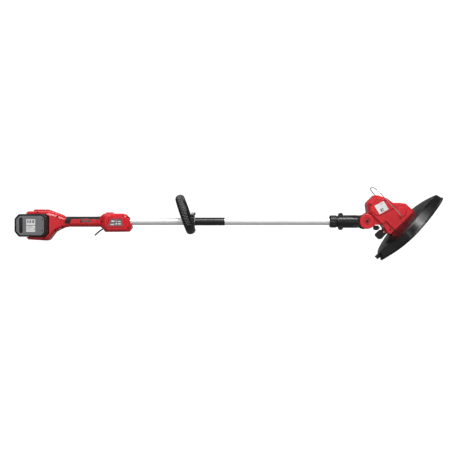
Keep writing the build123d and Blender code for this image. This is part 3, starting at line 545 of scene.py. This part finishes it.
# %% Dress the CAD nodes
SLOT_FINISH = {
    "red_plastic": RED, "black_plastic": BLACK, "soft_rubber": RUBBER, "grey_plastic": GREY,
    "label_white": BATTERY_LABEL, "aluminium_tube": ALUMINIUM, "black_screw": BLACK_STEEL,
    "bright_steel": BRIGHT_STEEL, "circuit_green": BOARD, "line_nylon": LINE_NYLON, "cable_black": CABLE,
}
OWN_FINISH = {
    "debris_guard": GUARD_BLACK, "window_plate": WINDOW, "grip_badge": BADGE, "housing_label": HOUSING_LABEL,
}
for part in frame["record"]["subparts"]:
    node = part["node"]
    piece = frame["nodes"][node]
    chosen = OWN_FINISH.get(node, SLOT_FINISH[part["material_slot"]])
    piece.data.materials.clear()
    piece.data.materials.append(chosen)
print("dressed", len(frame["nodes"]), "nodes")

# %% [markdown]
# New pieces are surfaces worked out as whole arrays. Most are a closed section carried along a path: an
# array of rings of points, joined ring to ring, with a fan of triangles closing each end. Its signed volume
# says which way the faces point, so they can all be turned outwards at once.


# %% Carried sections
def outward(points, faces):
    """The faces, all reversed if the volume they enclose comes out negative."""
    first, second, third = (points[faces[:, i]] for i in range(3))
    volume = np.einsum("ij,ij->i", first, np.cross(second, third)).sum()
    last = faces[:, -1]
    volume += np.einsum("ij,ij->i", first, np.cross(third, points[last])).sum() if faces.shape[1] == 4 else 0
    return faces if volume > 0 else faces[:, ::-1]


def carried(name, rings):
    """A closed tube-like piece from rings x points x 3, its two ends closed to their middles."""
    count, around = rings.shape[:2]
    walls = grid_faces(count, around, wrap=True)
    middles = rings[[0, -1]].mean(axis=1)
    points = np.concatenate([rings.reshape(-1, 3), middles])
    turned = outward(points, walls)
    flipped = not np.array_equal(turned, walls)
    near = np.arange(around)
    far = (near + 1) % around
    start_cap = np.stack([far, near, np.full(around, count * around)], axis=1)
    last_ring = (count - 1) * around
    end_cap = np.stack([last_ring + near, last_ring + far, np.full(around, count * around + 1)], axis=1)
    if flipped:
        start_cap, end_cap = start_cap[:, ::-1], end_cap[:, ::-1]
    return mesh_piece(name, points, [turned, start_cap, end_cap])


def dress(piece, body, slot, material, *replaced):
    """Give a new piece its finish and body, and hide the CAD nodes that it stands for. The slot is not used.
    """
    piece.data.materials.append(material)
    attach(piece, body)
    if replaced:
        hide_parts(*replaced)
    print(piece.name, "rides on", body, "with", len(piece.data.polygons), "faces")
    return piece


# %% [markdown]
# The loop handle's grip is a rubber band let into its outer face, with raised lines that cross in diamonds.
# The bar is an oval section carried round a circle, so the angle t gives the place round the loop and w,
# from -1 to 1, the place across the band. Two zigzags, a triangle wave of t and its mirror image, are the
# ridges' middles, and the height falls off with the distance from the nearer one.

# %% Loop band
LOOP_CENTRE = np.array([-0.0194, 0, 0.0241])
LOOP_LEAN = math.radians(19)
LOOP_UP = np.array([-math.sin(LOOP_LEAN), 0, math.cos(LOOP_LEAN)])
LOOP_NORMAL = np.array([math.cos(LOOP_LEAN), 0, math.sin(LOOP_LEAN)])
LOOP_SIDE = np.array([0.0, 1.0, 0.0])
BAR_CIRCLE, BAR_HALF_DEEP, BAR_HALF_WIDE = 0.061, 0.011, 0.016
BAND_HALF, BAND_SINK, BAND_RISE, BAND_RIDGE = 0.00995, 0.0011, 0.0002, 0.0011
BAND_END = 0.04
BAND_DIAMONDS = 15
RIDGE_HALF, ZIGZAG_REACH = 0.12, 0.75      # of w: a ridge's half width, and how far the zigzags swing
RINGS_ALONG, POINTS_ACROSS = 900, 41


def loop_band():
    """Rings of points at angles t: the ridged top across the band, then its underside.

    A point's distance from the loop's middle is circle + deep sqrt(1 - (across / wide)^2) + height, which
    follows the bar's oval. Also gives 1 on the ridges and 0 off them, for each point.
    """
    end = math.acos(-BAND_END / (BAR_CIRCLE + BAR_HALF_DEEP))
    t = np.linspace(-end, end, RINGS_ALONG)[:, None]
    w = np.linspace(-1, 1, POINTS_ACROSS)[None, :]
    phase = t / (2 * end) * BAND_DIAMONDS
    zigzag = 2 * ZIGZAG_REACH * np.abs(2 * (phase - np.floor(phase + 0.5))) - ZIGZAG_REACH
    nearest = np.minimum(np.abs(w - zigzag), np.abs(w + zigzag))
    fade = np.clip((1 - np.abs(w)) * 8, 0, 1)
    top = BAND_RISE + BAND_RIDGE * np.exp(-(nearest / RIDGE_HALF) ** 2) * fade
    height = np.concatenate([top, np.full((RINGS_ALONG, POINTS_ACROSS), -BAND_SINK)], axis=1)
    across = np.concatenate([w, w[:, ::-1]], axis=1) * BAND_HALF
    crown = BAR_HALF_DEEP * np.sqrt(1 - (across / BAR_HALF_WIDE) ** 2)
    reach = (BAR_CIRCLE + crown + height)[..., None]
    rings = LOOP_CENTRE + across[..., None] * LOOP_NORMAL + reach * (
        np.cos(t)[..., None] * LOOP_UP + np.sin(t)[..., None] * LOOP_SIDE)
    return rings, np.clip((height - BAND_RISE) / BAND_RIDGE, 0, 1)


def ridged_rubber():
    """Rubber whose ridges, marked 1 by the mesh's own attribute, are shinier and painted paler as a
    highlight.
    """
    material, place, plug = finish("ridged_rubber", IOR=1.45)
    ridge = place.node("ShaderNodeAttribute", {"attribute_name": "ridge"}, output="Fac")
    grain = place.noise(1600, 3)
    plug(
        # The ridges' pale grey is a painted highlight.
        Base_Color=(ridge * (0.7 + grain * 0.5)).clamp().between(
            (0.004, 0.004, 0.0042, 1), (0.2, 0.2, 0.2, 1)),
        Roughness=0.55 - ridge * 0.25 + (grain - 0.5) * 0.1,
        Normal=relief(place, grain, 0.00005, 0.0003),
    )
    return material


band_rings, band_ridges = loop_band()
loop_grip = carried("loop_grip_band", band_rings)
ridge_layer = loop_grip.data.attributes.new("ridge", "FLOAT", "POINT")
ridge_layer.data.foreach_set("value", np.append(band_ridges.ravel(), [0, 0]))
dress(loop_grip, "loop", "soft_rubber", ridged_rubber(), "loop_band")

# %% [markdown]
# Springs are round wire on a helix. The path's tangent gives each ring's plane, and the ring's two
# directions are the coil's own radius and the tangent crossed with it.


# %% Springs and the wound line
STEPS_PER_TURN, WIRE_SIDES = 28, 10


def coil(start, axis, radius, wire_radius, turns, length):
    """Rings of wire along a helix from start: position = start + axis h + radius (cos a, sin a)."""
    axis = np.array(axis, float) / np.linalg.norm(axis)
    first = np.cross(axis, [0.3, 1.0, 0.2])
    first /= np.linalg.norm(first)
    second = np.cross(axis, first)
    a = np.linspace(0, 2 * math.pi * turns, int(turns * STEPS_PER_TURN))[:, None]
    h = length * a / a[-1]
    radial = np.cos(a) * first + np.sin(a) * second
    tangent = (-np.sin(a) * first + np.cos(a) * second) * radius * a[-1] + axis * length
    tangent /= np.linalg.norm(tangent, axis=1)[:, None]
    binormal = np.cross(tangent, radial)
    b = np.linspace(0, 2 * math.pi, WIRE_SIDES, endpoint=False)[None, :, None]
    path = np.array(start) + axis * h + radial * radius
    return path[:, None] + wire_radius * (np.cos(b) * radial[:, None] + np.sin(b) * binormal[:, None])


def middle(node):
    """The middle of a CAD node's box."""
    low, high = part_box(node)
    return (np.array(low) + np.array(high)) / 2


HEAD_TILT = math.radians(45)
HEAD_FORWARD = np.array([math.cos(HEAD_TILT), 0, math.sin(HEAD_TILT)])
HEAD_UP = np.array([-math.sin(HEAD_TILT), 0, math.cos(HEAD_TILT)])
LOCK_WIRE = 0.0005                        # the lock spring's wire, as a radius
LOCK_RADIUS, LOCK_TURNS = 0.0042, 8
TRIGGER_RADIUS, TRIGGER_WIRE, TRIGGER_TURNS, TRIGGER_LENGTH = 0.0033, 0.00035, 2.5, 0.001
BUMP_RADIUS, BUMP_WIRE, BUMP_TURNS, BUMP_SPRING_LENGTH = 0.0062, 0.0006, 6, 0.0148
LINE_RADIUS, LINE_WIRE, LINE_TURNS, WINDING_LENGTH = 0.0318, 0.00118, 10.7, 0.0252

lock_low, lock_high = np.array(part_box("lock_spring"))
lock_middle = middle("lock_spring")
lock_start = np.array([lock_middle[0], lock_middle[1], lock_low[2] + LOCK_WIRE])
lock_length = lock_high[2] - lock_low[2] - 2 * LOCK_WIRE
lock_rings = coil(lock_start, (0, 0, 1), LOCK_RADIUS, LOCK_WIRE, LOCK_TURNS, lock_length)
lock_button_spring = dress(
    carried("lock_button_spring", lock_rings),
    "root", "bright_steel", BRIGHT_STEEL, "lock_spring")
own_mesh(lock_button_spring)
trigger_middle = middle("trigger_spring")
trigger_start = trigger_middle - (0, TRIGGER_LENGTH / 2, 0)
trigger_rings = coil(trigger_start, (0, 1, 0), TRIGGER_RADIUS, TRIGGER_WIRE, TRIGGER_TURNS, TRIGGER_LENGTH)
dress(carried("trigger_return_spring", trigger_rings),
      "root", "bright_steel", BRIGHT_STEEL, "trigger_spring")
bump_start = middle("bump_spring") - HEAD_UP * BUMP_SPRING_LENGTH / 2
bump_rings = coil(bump_start, HEAD_UP, BUMP_RADIUS, BUMP_WIRE, BUMP_TURNS, BUMP_SPRING_LENGTH)
dress(carried("bump_head_spring", bump_rings),
      "spool_head", "bright_steel", BRIGHT_STEEL, "bump_spring")
winding_start = middle("line_winding") - HEAD_UP * WINDING_LENGTH / 2
winding_rings = coil(winding_start, HEAD_UP, LINE_RADIUS, LINE_WIRE, LINE_TURNS, WINDING_LENGTH)
dress(carried("wound_line", winding_rings),
      "bump", "line_nylon", LINE_NYLON, "line_winding")

# %% [markdown]
# Behind the three cooling slots sits a black sheet that stands in for the shade inside the handle, so that
# no light falls through it. Its outline is the slots' neighbourhood in X and Z, kept inside the shell's
# underside, and it is a thin slab with a louvred face: the face's depth follows a sine along X.

# %% Dark sheet in the vents, standing in for shade
SHADE_SHEET_X, SHADE_SHEET_TOP, SHADE_SHEET_Y, SHADE_SHEET_THICK = (-0.4745, -0.4515), -0.0185, -0.012, 0.0015
UNDERSIDE_X, UNDERSIDE_Z = (-0.493, -0.473, -0.453), (-0.063, -0.0375, -0.027)
FOOT_LIFT = 0.0035                        # the foot stands this far above the underside
LOUVRE_PITCH, LOUVRE_DEPTH = 0.0035, 0.0004
SHADE_SHEET_STEPS = 60


def vent_shade_sheet():
    """Rings along X: a tall box section whose foot follows the underside.

    Front face = thickness + LOUVRE_DEPTH sin(2 pi x / LOUVRE_PITCH) in front of the back face.
    """
    x = np.linspace(*SHADE_SHEET_X, SHADE_SHEET_STEPS)
    foot = np.interp(x, UNDERSIDE_X, UNDERSIDE_Z) + FOOT_LIFT
    front = SHADE_SHEET_Y - SHADE_SHEET_THICK - LOUVRE_DEPTH * np.sin(2 * math.pi * (x - SHADE_SHEET_X[0]) / LOUVRE_PITCH)
    back, top = np.full_like(x, SHADE_SHEET_Y), np.full_like(x, SHADE_SHEET_TOP)
    corners = [(front, foot), (back, foot), (back, top), (front, top)]
    return np.stack([np.stack([x, y, z], axis=1) for y, z in corners], axis=1)


# A black sheet put behind the slots to stand in for the shade inside the handle.
shade_sheet = carried("vent_shade_sheet", vent_shade_sheet())
dress(shade_sheet, "root", "black_plastic", BLACK)

# %% [markdown]
# The guard's top has thin raised ribs that follow circles about the spool's axis. The deck is an arc
# through three points in radius and height, so its circle gives the height at any radius, and a half-round
# section rides on it.

# %% Guard ribs
HEAD_ORIGIN = np.array([0.74196, 0.0, 0.0053])
RIB_HALF, RIB_HIGH, RIB_SINK = 0.0014, 0.0011, 0.0006
DECK = np.array([(0.056, 0.0), (0.1, -0.0062), (0.141, -0.019)])      # radius and height of three points
RIB_STEPS, RIB_SIDES = 90, 9
END_SQUARENESS = 40                        # the power in the formula that rounds off a rib's two ends
RIBS = ((0.112, -100, -8), (0.119, -46, -14))      # radius, and the first and last angle in degrees


def deck_height(radius):
    """The deck's height: centre_v + sqrt(R^2 - (radius - centre_r)^2), on the circle through DECK."""
    rows = np.column_stack([2 * DECK, np.ones(3)])
    centre_r, centre_v, rest = np.linalg.solve(rows, (DECK ** 2).sum(axis=1))
    return centre_v + np.sqrt(rest + centre_r ** 2 + centre_v ** 2 - (radius - centre_r) ** 2)


def guard_rib(radius, start, stop):
    """Rings of a half-round rib at a radius, between two angles in degrees, its feet sunk into the deck.

    Height over the deck = RIB_HIGH sin(b) sqrt(1 - along^END_SQUARENESS), for b from foot to foot.
    """
    a = np.radians(np.linspace(start, stop, RIB_STEPS))[:, None]
    b = np.linspace(0, math.pi, RIB_SIDES)[None, :]
    along = np.linspace(-1, 1, RIB_STEPS)
    ends = np.sqrt(np.clip(1 - along ** END_SQUARENESS, 0, 1))[:, None]
    r = radius + RIB_HALF * np.cos(b) + 0 * a
    at_foot = np.abs(np.cos(b)) > 0.99
    v = deck_height(radius) + RIB_HIGH * np.sin(b) * ends - RIB_SINK * at_foot
    forward, side = (r * np.cos(a))[..., None], (r * np.sin(a))[..., None]
    return HEAD_ORIGIN + forward * HEAD_FORWARD + side * [0.0, 1.0, 0.0] + v[..., None] * HEAD_UP


for number, (radius, start, stop) in enumerate(RIBS, start=1):
    rib = carried(f"guard_rib_{number}", guard_rib(radius, start, stop))
    dress(rib, "head", "black_plastic", GUARD_BLACK)
